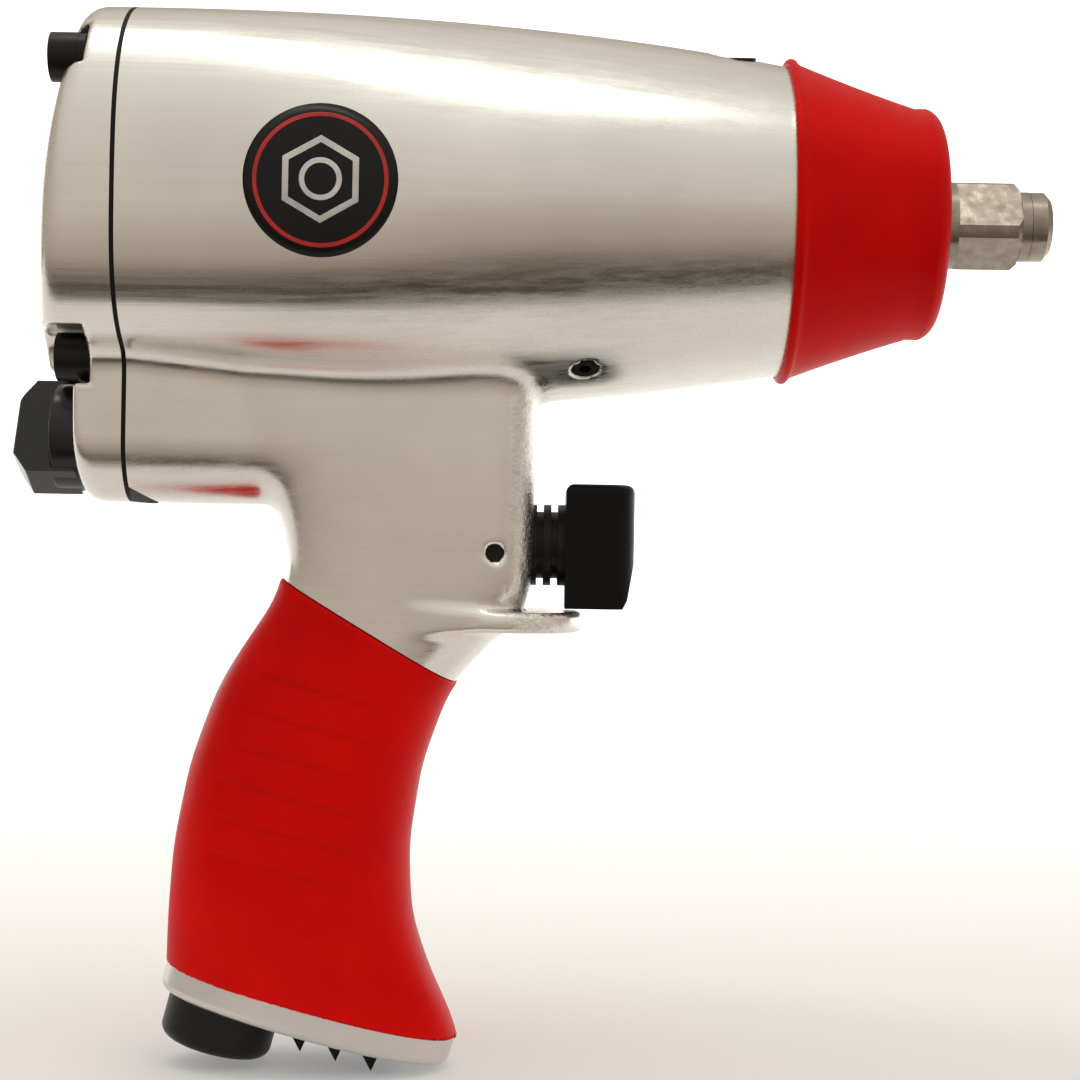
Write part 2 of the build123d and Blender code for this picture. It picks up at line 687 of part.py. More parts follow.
# ---- hammers ----
def hammer(x0, side):
    """A ring that rocks on its own pin; the small pad inside is what strikes the anvil."""
    ring = ring_x(HAMMER_R, HAMMER_HOLE, x0, x0 + HAMMER_THICK)
    pad = ring_x(HAMMER_HOLE + 0.4, HAMMER_HOLE - 1.1, x0, x0 + HAMMER_THICK)
    ring += pad & block(x0, x0 + HAMMER_THICK, -4, 4, min(0, -side * 30), max(0, -side * 30))
    ring -= rod_x(PIN_R + RUN, x0 - 1, x0 + HAMMER_THICK + 1, 0, side * PIN_OFFSET)
    return ring - rod_x(PIN_R + 1.2, x0 - 1, x0 + HAMMER_THICK + 1, 0, -side * PIN_OFFSET)


def hammer_rear():
    return hammer(FRAME_X[0] + FRAME_PLATE + 2.3, 1)


def hammer_front():
    return hammer(FRAME_X[1] - FRAME_PLATE - 0.3 - HAMMER_THICK, -1)


# ---- anvil body ----
def anvil():
    pilot = FRAME_X[0] + 4.3
    lobes = FRAME_X[0] + FRAME_PLATE + 2.2
    collar = FRAME_X[1] - FRAME_PLATE
    shaft = BUSHING_X[0] - 1.0
    body = rod_x(5.0, pilot, lobes + 1)
    body += rod_x(ANVIL_CORE, lobes, collar + 1)
    body += rod_x(ANVIL_COLLAR, collar + 0.1, shaft)
    body += rod_x(ANVIL_SHAFT, shaft, 0)
    half = (collar - lobes) / 2
    for i, side in enumerate((1, -1)):
        start = lobes + i * half
        lobe = block(start, start + half, -4.5, 4.5, min(0, side * 20), max(0, side * 20))
        body += lobe & rod_x(ANVIL_LOBE, lobes, collar)
    body += drive_square()
    body += rod_x(5.2, 0, ANVIL_END - 1)
    groove_end = RING_GROOVE[1]
    return body + spin_x([(groove_end, 0), (groove_end, 6.3), (ANVIL_END - 1.1, 6.3), (ANVIL_END, 5.1),
                          (ANVIL_END, 0)])


def drive_square():
    half = SQUARE / 2
    square = Rot(SQUARE_TURN, 0, 0) * block(0, SQUARE_LENGTH, -half, half, -half, half)
    ends = spin_x([(0, 0), (0, ANVIL_SHAFT), (SQUARE_LENGTH - 0.9, ANVIL_SHAFT), (SQUARE_LENGTH, 7.0),
                   (SQUARE_LENGTH, 0)])
    return square & ends


def socket_ring():
    ring = ring_x(6.35, 5.6, RING_GROOVE[0] + 0.1, RING_GROOVE[1] - 0.1)
    return ring - block(RING_GROOVE[0], RING_GROOVE[1], -0.8, 0.8, 0, 10)


def ring_cushion():
    return ring_x(5.6, 5.2, RING_GROOVE[0] + 0.2, RING_GROOVE[1] - 0.2)


# ---- trigger body ----
def trigger_head():
    top, bottom, rear, front = TRIGGER_Z + 11.1, TRIGGER_Z - 11.4, -70.0, TRIGGER_FACE
    head = block(rear, front, -9.0, 9.0, bottom, top)
    upright = head.edges().filter_by(Axis.Z).sort_by(Axis.X)[-2:]
    head = fillet(upright, 5.0)
    head = fillet(head.edges().group_by(Axis.Z)[-1], 1.5)
    slope = Polyline((front, 0, TRIGGER_Z - 3), (front + 2, 0, TRIGGER_Z - 3), (front + 2, 0, bottom - 1),
                     (front - 2.6, 0, bottom - 1), (front - 1.2, 0, bottom + 1.6), close=True)
    head -= extrude(make_face(slope), amount=20, dir=(0, 1, 0), both=True)
    return head - rod_x(PLUNGER_R - 2.4, rear - 1, rear + 5, 0, TRIGGER_Z)


def trigger_plunger():
    body = rod_x(PLUNGER_R, PLUNGER_REAR, -70.0, 0, TRIGGER_Z)
    body += rod_x(PLUNGER_R - 2.45, -70.0, -65.2, 0, TRIGGER_Z)
    for x in (-75.2, -72.6):
        body -= ring_x(PLUNGER_R + 1, PLUNGER_R - 1.3, x, x + 1.2, 0, TRIGGER_Z)
    tip = STEM_AT[0] + (PUSH_ROD_R + STEM_R) / cos(radians(STEM_LEAN)) + 0.1
    body += rod_x(PUSH_ROD_R, tip, PLUNGER_REAR + 1, 0, TRIGGER_Z)
    body += Pos(tip, 0, TRIGGER_Z) * Sphere(PUSH_ROD_R)
    pin_x, pin_z = TRIGGER_PIN_AT
    slot = block(pin_x - 1.7, pin_x + 1.7 + TRIGGER_TRAVEL, -20, 20, pin_z - 1.7, pin_z + 1.7)
    body -= slot
    return body - ring_x(PLUNGER_R + 1, PLUNGER_R - 1.0, -87.0, -85.4, 0, TRIGGER_Z)


def trigger_seal():
    return ring_x(PLUNGER_R, PLUNGER_R - 1.0, -86.9, -85.5, 0, TRIGGER_Z)


# ---- throttle valve body ----
def throttle_valve():
    valve = stem_rod(STEM_R, -3.0, STEM_ARM + 1)
    return valve + stem_rod(VALVE_HEAD_R, STEM_ARM + 1.0, STEM_ARM + 3.6)


def valve_facing():
    disc = stem_rod(VALVE_HEAD_R, STEM_ARM + 0.05, STEM_ARM + 1.0)
    return disc - stem_rod(STEM_R, STEM_ARM - 1, STEM_ARM + 2)


# ---- reverse valve body ----
def reverse_valve_spool():
    spool = rod_x(SPOOL_R, SEAM_X, SPOOL_FRONT, 0, VALVE_Z)
    spool += rod_x(SPOOL_NECK_R, KNOB_FACE, SEAM_X + 1, 0, VALVE_Z)
    for x in SPOOL_GROOVES:
        spool -= ring_x(SPOOL_R + 1, SPOOL_R - 1.4, x, x + 1.9, 0, VALVE_Z)
    spool -= block(-134.0, -122.0, -8, 8, VALVE_Z + 2.5, VALVE_Z + 8)
    spool -= rod_x(3.2, -136.0, SPOOL_FRONT + 1, 0, VALVE_Z)
    return spool - rod_x(1.5, KNOB_FACE - 1, KNOB_FACE + 10, 0, VALVE_Z)


def spool_seals():
    rings = [ring_x(SPOOL_R, SPOOL_R - 1.4, x + 0.05, x + 1.85, 0, VALVE_Z) for x in SPOOL_GROOVES]
    return Compound(children=rings)


def reverse_knob():
    disc = rod_x(KNOB_R, KNOB_FACE - KNOB_DISC, KNOB_FACE, 0, VALVE_Z)
    disc = fillet(disc.edges().filter_by(GeomType.CIRCLE).sort_by(Axis.X)[0], 0.8)
    reach = KNOB_R - 0.2
    bar = block(KNOB_TIP, KNOB_FACE - 2, -4.2, 4.2, -reach, reach)
    bar = fillet(bar.edges().group_by(Axis.X)[0], 1.4)
    for side in (-1, 1):
        bar -= Pos(KNOB_TIP, 0, side * reach) * Rot(0, side * 35, 0) * Box(5, 20, 9)
    knob = disc + Pos(0, 0, VALVE_Z) * Rot(KNOB_TURN, 0, 0) * bar
    knob -= rod_x(3.0, KNOB_TIP - 1, KNOB_TIP + 6, 0, VALVE_Z)
    knob -= rod_x(1.6, KNOB_TIP, KNOB_FACE + 1, 0, VALVE_Z)
    return knob - Pos(KNOB_FACE, 0, VALVE_Z) * Rot(0, 90, 0) * Torus(DETENT_R, 1.1)


def knob_screw():
    screw = rod_x(2.8, KNOB_TIP + 3, KNOB_TIP + 6, 0, VALVE_Z)
    screw += rod_x(1.5, KNOB_TIP + 5, KNOB_FACE + 9, 0, VALVE_Z)
    return screw - block(KNOB_TIP, KNOB_TIP + 4.2, -0.4, 0.4, VALVE_Z - 4, VALVE_Z + 4)


def rear_cover_screws():
    return Compound(children=[cover_screw(y, z) for y, z in screw_places()])


def rear_lock_washers():
    return Compound(children=[lock_washer(y, z) for y, z in screw_places()])


PIECES = [
    motor_housing, rear_cover, rear_gasket, rear_cover_screws, rear_lock_washers, nose_boot, grip_sleeve,
    base_plate, inlet_bushing, inlet_strainer, exhaust_deflector, exhaust_muffler, label_disc, oil_plug,
    nose_plug, rear_end_plate, front_end_plate, cylinder_liner, cylinder_dowel, rear_bearing_outer,
    rear_bearing_balls, front_bearing_outer, front_bearing_balls, anvil_bushing, thrust_washer, nose_seal,
    trigger_pin, valve_seat, valve_spring, reverse_valve_sleeve, detent_spring, detent_ball,
    rotor, rotor_vanes, rear_bearing_inner, front_bearing_inner, hammer_frame, hammer_pins,
    hammer_rear, hammer_front, anvil, socket_ring, ring_cushion,
    trigger_head, trigger_plunger, trigger_seal, throttle_valve, valve_facing,
    reverse_valve_spool, spool_seals, reverse_knob, knob_screw,
]

os.makedirs("parts", exist_ok=True)
for piece in PIECES:
    export_step(piece(), f"parts/{piece.__name__}.step")
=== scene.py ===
"""Looks of the impact wrench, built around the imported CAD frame. Sizes in mm unless a name ends in _M."""
import json
import math

import bmesh
import bpy
import numpy as np
from mathutils import Matrix, Vector


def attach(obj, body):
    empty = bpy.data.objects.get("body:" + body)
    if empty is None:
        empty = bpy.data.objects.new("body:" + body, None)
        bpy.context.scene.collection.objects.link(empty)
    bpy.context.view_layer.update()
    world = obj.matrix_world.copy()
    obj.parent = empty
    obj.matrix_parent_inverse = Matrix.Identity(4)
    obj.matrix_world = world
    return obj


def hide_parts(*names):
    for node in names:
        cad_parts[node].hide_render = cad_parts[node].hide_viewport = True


MM = 0.001

# ---- sizes shared with the CAD model ----
SEAM_X = -146.9
GASKET = 0.8
NOSE_X = -31.8
BARREL_HALF = 36.3
NOSE_HALF = 28.1
BARREL_FLAT = 2.7
UPPER_DROP = 1.0
LOWER_DROP = 6.2
SKIN_INSET = 0.02                             # keeps the metal skins inside the CAD's own box
ROUND_X = -72.0
LUMP_HALF = 22.0
LUMP_FRONT_HALF = 15.0
LUMP_FRONT_X = -108.0
LUMP_BOTTOM = -53.3
LUMP_CORNER = 11.0
HANDLE_SECTIONS = [          # height, rear edge, front edge, half width, squareness
    (-20.0, -136.0, -76.0, 18.0, 5.5),
    (-44.0, -128.0, -75.8, 17.8, 5.5),
    (-54.0, -121.5, -75.8, 17.5, 5.2),
    (-64.0, -119.8, -75.9, 17.2, 4.8),
    (-71.0, -122.0, -76.3, 17.0, 4.0),
    (-77.0, -126.5, -82.5, 17.0, 3.2),
    (-86.0, -132.0, -91.0, 17.2, 3.0),
    (-100.0, -137.0, -96.0, 17.4, 2.7),
    (-115.0, -139.9, -98.2, 17.0, 2.5),
    (-128.0, -140.8, -97.5, 16.0, 2.4),
    (-138.0, -141.0, -94.0, 15.4, 2.4),
    (-147.0, -141.3, -89.5, 15.2, 2.4),
    (-157.0, -141.6, -87.0, 15.2, 2.4),
]
SLEEVE_PROUD = 0.5
SLEEVE_TOP_AT = (-112.7, -71.0)
SLEEVE_TOP_SLOPE = math.radians(30.5)
RIB_FIRST = (-114.0, -85.5)
RIB_PITCH = 6.5
RIBS = 6
BASE_CENTRE = (-115.0, -143.2)
BASE_TILT = math.radians(14.5)
LEDGE = (-86.0, -66.8, -71.8, 3.7, 17.2)      # middle, tip, top, thickness, half width
COVER_APEX = -165.0
COVER_DOME = 110.0
COVER_DOME_Z = -9.0
UPPER_SCREW = (26.5, 22.5)
LOWER_SCREW = (17.5, -28.2)
SEAT_X = -153.4
UPPER_SEAT_R = 5.3
LOWER_SEAT_R = 4.7
KNOB_FACE = -156.4
KNOB_TOP = -30.5
TRIGGER_Z = -59.8
PLUNGER_R = 7.4
PIN_AT = (-82.6, -61.3)
PIN_HOLE_R = 1.6
PIN_HOLE_FLOOR = 12.0                         # distance from the middle plane, behind the pin's end
OIL_PLUG = (-67.2, 151.5, 2.35)               # place along the barrel, turn from straight up, radius
NOSE_PLUG = (-41.3, 12.0, 4.2)
LABEL_AT = (-112.4, 0.9)
LABEL_R = 13.0
OUTLINE_POINTS = 96


# ---- smooth fields: negative inside ----
def ease(value):
    value = np.clip(value, 0.0, 1.0)
    return value * value * (3 - 2 * value)


def join(a, b, soft):
    """Union of two fields with a fillet about soft wide."""
    blend = np.clip(0.5 + 0.5 * (b - a) / soft, 0.0, 1.0)
    return b + (a - b) * blend - soft * blend * (1 - blend)


def meet(a, b, soft):
    return -join(-a, -b, soft)


def barrel_half(x):
    along = np.clip((x - NOSE_X) / (SEAM_X - NOSE_X), 0.0, 1.0)
    return NOSE_HALF + (BARREL_HALF - NOSE_HALF) * (1 - (1 - along) ** 2.4)


def barrel(x, y, z):
    square = ease((ROUND_X - x) / (ROUND_X - SEAM_X))
    half = barrel_half(x)
    away = np.hypot(y, z) + 1e-6
    power = np.where(z > 0, 2 + (BARREL_FLAT - 2) * square, 2 + square)
    height = half - np.where(z > 0, UPPER_DROP, LOWER_DROP) * square
    reach = ((np.abs(y) / away / half) ** power + (np.abs(z) / away / height) ** power) ** (-1 / power)
    return away - reach + SKIN_INSET


def valve_lump(x, y, z):
    along = np.clip((x - SEAM_X) / (LUMP_FRONT_X - SEAM_X), 0.0, 1.0)
    half = LUMP_HALF + (LUMP_FRONT_HALF - LUMP_HALF) * along
    beside = np.abs(y) - half + LUMP_CORNER
    below = LUMP_BOTTOM + LUMP_CORNER - z
    outside = np.hypot(np.maximum(beside, 0), np.maximum(below, 0))
    round_bottom = outside + np.minimum(np.maximum(beside, below), 0) - LUMP_CORNER
    return np.maximum(round_bottom, z + 12.0)


def handle_tables():
    """The handle's sections, made dense and smoothed along its height."""
    heights = np.arange(-165.0, -15.0, 0.5)
    rows = np.array(HANDLE_SECTIONS[::-1])
    weights = np.exp(-0.5 * (np.arange(-16, 17) / 6.0) ** 2)
    weights /= weights.sum()
    tables = []
    for column in range(1, 5):
        values = np.interp(heights, rows[:, 0], rows[:, column])
        padded_values = np.pad(values, 16, mode="edge")
        tables.append(np.convolve(padded_values, weights, mode="valid"))
    return heights, tables


HEIGHTS, (REAR, FRONT, HALF_WIDTH, POWER) = handle_tables()


def handle(x, y, z):
    rear = np.interp(z, HEIGHTS, REAR)
    front = np.interp(z, HEIGHTS, FRONT)
    half_width = np.interp(z, HEIGHTS, HALF_WIDTH)
    power = np.interp(z, HEIGHTS, POWER)
    along = x - (rear + front) / 2
    half_length = (front - rear) / 2
    away = np.hypot(along, y) + 1e-6
    long_share = (np.abs(along) / away / half_length) ** power
    wide_share = (np.abs(y) / away / half_width) ** power
    return away - (long_share + wide_share) ** (-1 / power)


def ledge(x, y, z):
    middle, tip, top, thick, half_width = LEDGE
    u, v = np.abs(x - middle) / (tip - middle), np.abs(y) / half_width
    away = np.hypot(x - middle, y) + 1e-6
    plan = away * (1 - 1 / ((u ** 3 + v ** 3) ** (1 / 3) + 1e-9))
    return meet(plan, np.abs(z - top + thick / 2) - thick / 2, 1.0)


def tube_x(y, z, radius, y0=0.0, z0=0.0):
    return np.hypot(y - y0, z - z0) - radius


def plug_hole(x, y, z, plug):
    """A round hole into the barrel, seen from the spindle axis at the plug's turn towards the right flank."""
    at, turn, radius = plug
    out = -y * math.sin(math.radians(turn)) + z * math.cos(math.radians(turn))
    across = y * math.cos(math.radians(turn)) + z * math.sin(math.radians(turn))
    return np.maximum(np.hypot(x - at, across) - radius - 0.12, 26.5 - out)


def above_base(x, z):
    """Negative above the handle's end face."""
    return -((x - BASE_CENTRE[0]) * math.sin(BASE_TILT) + (z - BASE_CENTRE[1]) * math.cos(BASE_TILT))


def below_sleeve_edge(x, z):
    along, up = x - SLEEVE_TOP_AT[0], z - SLEEVE_TOP_AT[1]
    return along * math.sin(SLEEVE_TOP_SLOPE) + up * math.cos(SLEEVE_TOP_SLOPE)


def housing_field(x, y, z):
    lump = np.maximum(valve_lump(x, y, z), x - LUMP_FRONT_X)
    grip = np.maximum(handle(x, y, z), z + 22.0)
    body = join(lump, grip, 3.0)
    body = join(body, barrel(x, y, z), 3.5)
    body = join(body, ledge(x, y, z), 2.0)
    bore = np.maximum(tube_x(y, z, PLUNGER_R + 0.25, 0, TRIGGER_Z), -92.0 - x)
    body = meet(body, -bore, 0.5)
    for plug in (OIL_PLUG, NOSE_PLUG):
        body = meet(body, -plug_hole(x, y, z, plug), 0.3)
    pin = np.hypot(x - PIN_AT[0], z - PIN_AT[1]) - PIN_HOLE_R
    return meet(body, -np.maximum(pin, PIN_HOLE_FLOOR - np.abs(y)), 0.35)


def cover_field(x, y, z):
    outline = join(valve_lump(SEAM_X, y, z), barrel(SEAM_X, y, z), 3.5)
    apex_x = COVER_APEX + COVER_DOME
    dome = np.sqrt((x - apex_x) ** 2 + y ** 2 + (z - COVER_DOME_Z) ** 2) - COVER_DOME
    body = meet(outline, dome, 3.0)
    knob_room = np.maximum(x - KNOB_FACE - 0.1, z - KNOB_TOP)
    body = meet(body, -knob_room, 1.2)
    for side in (-1, 1):
        body = meet(body, -screw_seat(x, y, z, side), 0.7)
    return body


def screw_seat(x, y, z, side):
    upper_y, upper_z = side * UPPER_SCREW[0], UPPER_SCREW[1]
    along = ((y - upper_y) * side + (z - upper_z)) / math.sqrt(2)
    across = ((y - upper_y) * side - (z - upper_z)) / math.sqrt(2)
    upper = np.where(along > 0, np.abs(across), np.hypot(along, across)) - UPPER_SEAT_R
    lower_y, lower_z = side * LOWER_SCREW[0], LOWER_SCREW[1]
    out = (y - lower_y) * side
    lower = np.where(out > 0, np.abs(z - lower_z), np.hypot(out, z - lower_z)) - LOWER_SEAT_R
    return np.maximum(np.minimum(upper, lower), x - SEAT_X)


def sleeve_field(x, y, z):
    body = handle(x, y, z) - SLEEVE_PROUD
    body = meet(body, below_sleeve_edge(x, z) + 0.15, 1.0)
    body = np.maximum(body, above_base(x, z) + 0.05)
    return body + rib_depth(x, y, z)


def rib_depth(x, y, z):
    """Shallow saw-tooth steps across each flank, falling gently forward."""
    fall = math.radians(14)
    down = -(z - RIB_FIRST[1]) * math.cos(fall) - (x - RIB_FIRST[0]) * math.sin(fall)
    phase = down / RIB_PITCH
    tooth = phase - np.floor(phase)
    step = (1 - tooth) ** 1.5 * ease(tooth * 14)
    live = ease((phase + 0.02) * 30) * ease((RIBS - phase) * 4)
    rear = np.interp(z, HEIGHTS, REAR)
    reach = ease((x - rear - 6.0) / 4.0) * ease((rear + 34.0 - x) / 5.0)
    flank = ease((np.abs(y) - 8.0) / 3.0)
    return 0.75 * step * live * reach * flank


# ---- from a field to a mesh ----
def quad_corners(index, axis, shape):
    """For each grid edge along axis, the four cells round it."""
    steps = {0: ((0, 0, 0), (0, 1, 0), (0, 1, 1), (0, 0, 1)),
             1: ((0, 0, 0), (0, 0, 1), (1, 0, 1), (1, 0, 0)),
             2: ((0, 0, 0), (1, 0, 0), (1, 1, 0), (0, 1, 0))}[axis]
    return np.stack([index[tuple(slice(s, s + n) for s, n in zip(step, shape))] for step in steps], axis=-1)


def surface_net(field, low, high, pitch):
    """Quads round the zero level of field, with their points moved onto it."""
    axes = [np.arange(low[i], high[i] + pitch, pitch) for i in range(3)]
    grid = np.meshgrid(*axes, indexing="ij")
    inside = field(*grid) < 0
    shape = np.array(inside.shape) - 1
    count = np.zeros(shape, dtype=int)
    for corner in np.ndindex(2, 2, 2):
        count += inside[tuple(slice(c, c + n) for c, n in zip(corner, shape))]
    mixed = (count > 0) & (count < 8)
    index = np.full(shape, -1)
    index[mixed] = np.arange(mixed.sum())
    points = np.stack([axes[i][where] + pitch / 2 for i, where in enumerate(np.nonzero(mixed))], axis=1)
    quads = []
    for axis in range(3):
        before = [slice(1, -1)] * 3
        after = [slice(1, -1)] * 3
        before[axis] = slice(0, -1)
        after[axis] = slice(1, None)
        start, end = inside[tuple(before)], inside[tuple(after)]
        corners = quad_corners(index, axis, start.shape)
        quads.append(corners[start & ~end])
        quads.append(corners[~start & end][:, ::-1])
    quads = np.concatenate(quads)
    for turn in range(4):
        points = onto_field(field, points)
        if turn < 3:
            points = relaxed(points, quads)
    return points, quads


def onto_field(field, points, rounds=3):
    """Points moved along the field's slope towards its zero level."""
    step = 0.01
    sides = np.eye(3) * step
    for _ in range(rounds):
        value = field(*points.T)
        rises = [field(*(points + side).T) - field(*(points - side).T) for side in sides]
        slope = np.stack(rises, axis=1) / (2 * step)
        length = np.maximum((slope ** 2).sum(axis=1), 0.05)
        move = np.clip(value / length, -0.8, 0.8)
        points = points - slope * move[:, None]
    return points


def relaxed(points, quads):
    """Each point moved half way to the middle of its neighbours."""
    total = np.zeros_like(points)
    count = np.zeros(len(points))
    for i in range(4):
        here, there = quads[:, i], quads[:, (i + 1) % 4]
        for a, b in ((here, there), (there, here)):
            for axis in range(3):
                total[:, axis] += np.bincount(a, points[b, axis], len(points))
            count += np.bincount(a, minlength=len(points))
    return points * 0.5 + total / count[:, None] * 0.5


def new_piece(name, points, faces, material, body):
    mesh = bpy.data.meshes.new(name)
    places = [tuple(point) for point in np.asarray(points) * MM]
    mesh.from_pydata(places, [], [tuple(int(i) for i in face) for face in faces])
    mesh.materials.append(material)
    mesh.polygons.foreach_set("use_smooth", [True] * len(mesh.polygons))
    piece = bpy.data.objects.new(name, mesh)
    bpy.context.scene.collection.objects.link(piece)
    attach(piece, body)
    return piece


def cut(piece, place, normal):
    """Keeps the side of a plane that its normal points away from, and closes the cut."""
    work = bmesh.new()
    work.from_mesh(piece.data)
    everything = list(work.verts) + list(work.edges) + list(work.faces)
    made = bmesh.ops.bisect_plane(
        work, geom=everything, plane_co=Vector(place) * MM, plane_no=normal, clear_outer=True)
    edges = [part for part in made["geom_cut"] if isinstance(part, bmesh.types.BMEdge)]
    caps = bmesh.ops.edgeloop_fill(work, edges=edges)["faces"]
    for face in caps:
        face.smooth = False
    for edge in edges:
        edge.smooth = False
    bmesh.ops.recalc_face_normals(work, faces=work.faces)
    work.to_mesh(piece.data)
    work.free()


def lathe_x(name, profile, material, body, turns=128):
    """A ring mesh from a closed profile of (x, radius)."""
    points = []
    for i in range(turns):
        a = 2 * math.pi * i / turns
        points += [(x, r * math.cos(a), r * math.sin(a)) for x, r in profile]
    n = len(profile)
    faces = [(i * n + j, i * n + (j + 1) % n, (i + 1) % turns * n + (j + 1) % n, (i + 1) % turns * n + j)
             for i in range(turns) for j in range(n)]
    piece = new_piece(name, points, faces, material, body)
    work = bmesh.new()
    work.from_mesh(piece.data)
    bmesh.ops.recalc_face_normals(work, faces=work.faces)
    work.to_mesh(piece.data)
    work.free()
    return piece


# ---- materials ----
class Paint:
    """A short way to write one node material."""

    def __init__(self, name):
        self.material = bpy.data.materials.new(name)
        self.material.use_nodes = True
        self.tree = self.material.node_tree
        self.shader = self.tree.nodes["Principled BSDF"]
        self.place = self.node("ShaderNodeTexCoord").outputs["Object"]

    def node(self, kind, **values):
        made = self.tree.nodes.new(kind)
        for key, value in values.items():
            if hasattr(made, key):
                setattr(made, key, value)
            else:
                made.inputs[key.replace("_", " ")].default_value = value
        return made

    def set(self, **values):
        for key, value in values.items():
            self.shader.inputs[key.replace("_", " ")].default_value = value

    def link(self, source, target):
        self.tree.links.new(source, target)

    def noise(self, scale, stretch=(1, 1, 1), detail=4.0, roughness=0.6, place=None):
        mapping = self.node("ShaderNodeMapping")
        mapping.inputs["Scale"].default_value = stretch
        self.link(place or self.place, mapping.inputs["Vector"])
        noise = self.node("ShaderNodeTexNoise", Scale=scale, Detail=detail, Roughness=roughness)
        self.link(mapping.outputs["Vector"], noise.inputs["Vector"])
        return noise.outputs["Fac"]

    def span(self, source, low, high, start=0.35, end=0.65):
        """The source's middle range spread between two numbers."""
        span = self.node("ShaderNodeMapRange")
        for key, value in zip(("From Min", "From Max", "To Min", "To Max"), (start, end, low, high)):
            span.inputs[key].default_value = value
        self.link(source, span.inputs["Value"])
        return span.outputs["Result"]

    def colours(self, source, *stops):
        ramp = self.node("ShaderNodeValToRGB")
        while len(ramp.color_ramp.elements) < len(stops):
            ramp.color_ramp.elements.new(0.5)
        for element, (at, colour) in zip(ramp.color_ramp.elements, stops):
            element.position = at
            element.color = (*colour, 1)
        self.link(source, ramp.inputs["Fac"])
        return ramp.outputs["Color"]

    def bump(self, *layers):
        """Each layer is (source, distance in mm)."""
        normal = None
        for source, distance in layers:
            bump = self.node("ShaderNodeBump", Strength=1.0, Distance=distance * MM)
            self.link(source, bump.inputs["Height"])
            if normal:
                self.link(normal, bump.inputs["Normal"])
            normal = bump.outputs["Normal"]
        self.link(normal, self.shader.inputs["Normal"])

    def product(self, first, second):
        made = self.node("ShaderNodeMath", operation="MULTIPLY")
        self.link(first, made.inputs[0])
        self.link(second, made.inputs[1])
        return made.outputs["Value"]

    def colour_from(self, source):
        self.link(source, self.shader.inputs["Base Color"])

    def roughness_from(self, source):
        self.link(source, self.shader.inputs["Roughness"])


def cast_skin(paint):
    """Coarse casting texture that shows only on the handle's front wall, where it was not polished."""
    split = paint.node("ShaderNodeSeparateXYZ")
    paint.link(paint.place, split.inputs["Vector"])
    forward = paint.span(split.outputs["X"], 0.0, 1.0, -0.0805, -0.0775)
    lower = paint.span(split.outputs["Z"], 1.0, 0.0, -0.036, -0.030)
    behind_nose = paint.span(split.outputs["X"], 1.0, 0.0, -0.074, -0.071)
    lumps = paint.noise(330.0, detail=5, roughness=0.7)
    return paint.product(paint.product(lumps, behind_nose), paint.product(forward, lower))


def brushed_aluminium(name, tone, rough, stretch=(10, 700, 700)):
    paint = Paint(name)
    paint.set(Metallic=1.0)
    marks = paint.noise(1.0, stretch, detail=6, roughness=0.75)
    fine = paint.noise(1.0, tuple(s * 3.2 for s in stretch), detail=3, roughness=0.7)
    cloud = paint.noise(22.0, detail=3)
    dark = tuple(t * 0.86 for t in tone)
    paint.colour_from(paint.colours(cloud, (0.3, dark), (0.7, tone)))
    paint.roughness_from(paint.span(marks, rough - 0.06, rough + 0.10))
    paint.bump((marks, 0.008), (fine, 0.004), (cloud, 0.05), (cast_skin(paint), 0.9))
    return paint.material


def turned_steel(name, tone, rough, grain=(60, 900, 900), stain_depth=0.55):
    paint = Paint(name)
    paint.set(Metallic=1.0)
    marks = paint.noise(1.0, grain, detail=5, roughness=0.7)
    stain = paint.noise(420.0, detail=5)
    dark = tuple(t * stain_depth for t in tone)
    paint.colour_from(paint.colours(stain, (0.35, dark), (0.62, tone)))
    paint.roughness_from(paint.span(stain, rough + 0.14, rough - 0.04))
    paint.bump((marks, 0.012), (stain, 0.006))
    return paint.material


def red_rubber():
    paint = Paint("red_rubber")
    paint.set(Specular_IOR_Level=0.07)
    grain = paint.noise(900.0, detail=4)
    cloud = paint.noise(45.0, detail=4)
    paint.colour_from(paint.colours(cloud, (0.3, (0.62, 0.001, 0.0005)), (0.7, (0.78, 0.003, 0.001))))
    paint.roughness_from(paint.span(cloud, 0.36, 0.5))
    paint.bump((grain, 0.025), (cloud, 0.06))
    return paint.material


def plastic(name, tone, rough, grain_depth, specular=0.5):
    paint = Paint(name)
    paint.set(Specular_IOR_Level=specular)
    grain = paint.noise(1500.0, detail=3)
    cloud = paint.noise(120.0, detail=3)
    light = tuple(t * 1.5 for t in tone)
    paint.colour_from(paint.colours(cloud, (0.35, tone), (0.68, light)))
    paint.roughness_from(paint.span(cloud, rough - 0.05, rough + 0.07))
    paint.bump((grain, grain_depth))
    return paint.material


def felt():
    paint = Paint("muffler_felt")
    paint.set(Roughness=0.95)
    fibres = paint.noise(2200.0, (1, 1, 0.3), detail=6)
    paint.colour_from(paint.colours(fibres, (0.3, (0.35, 0.33, 0.29)), (0.7, (0.62, 0.59, 0.52))))
    paint.bump((fibres, 0.2))
    return paint.material


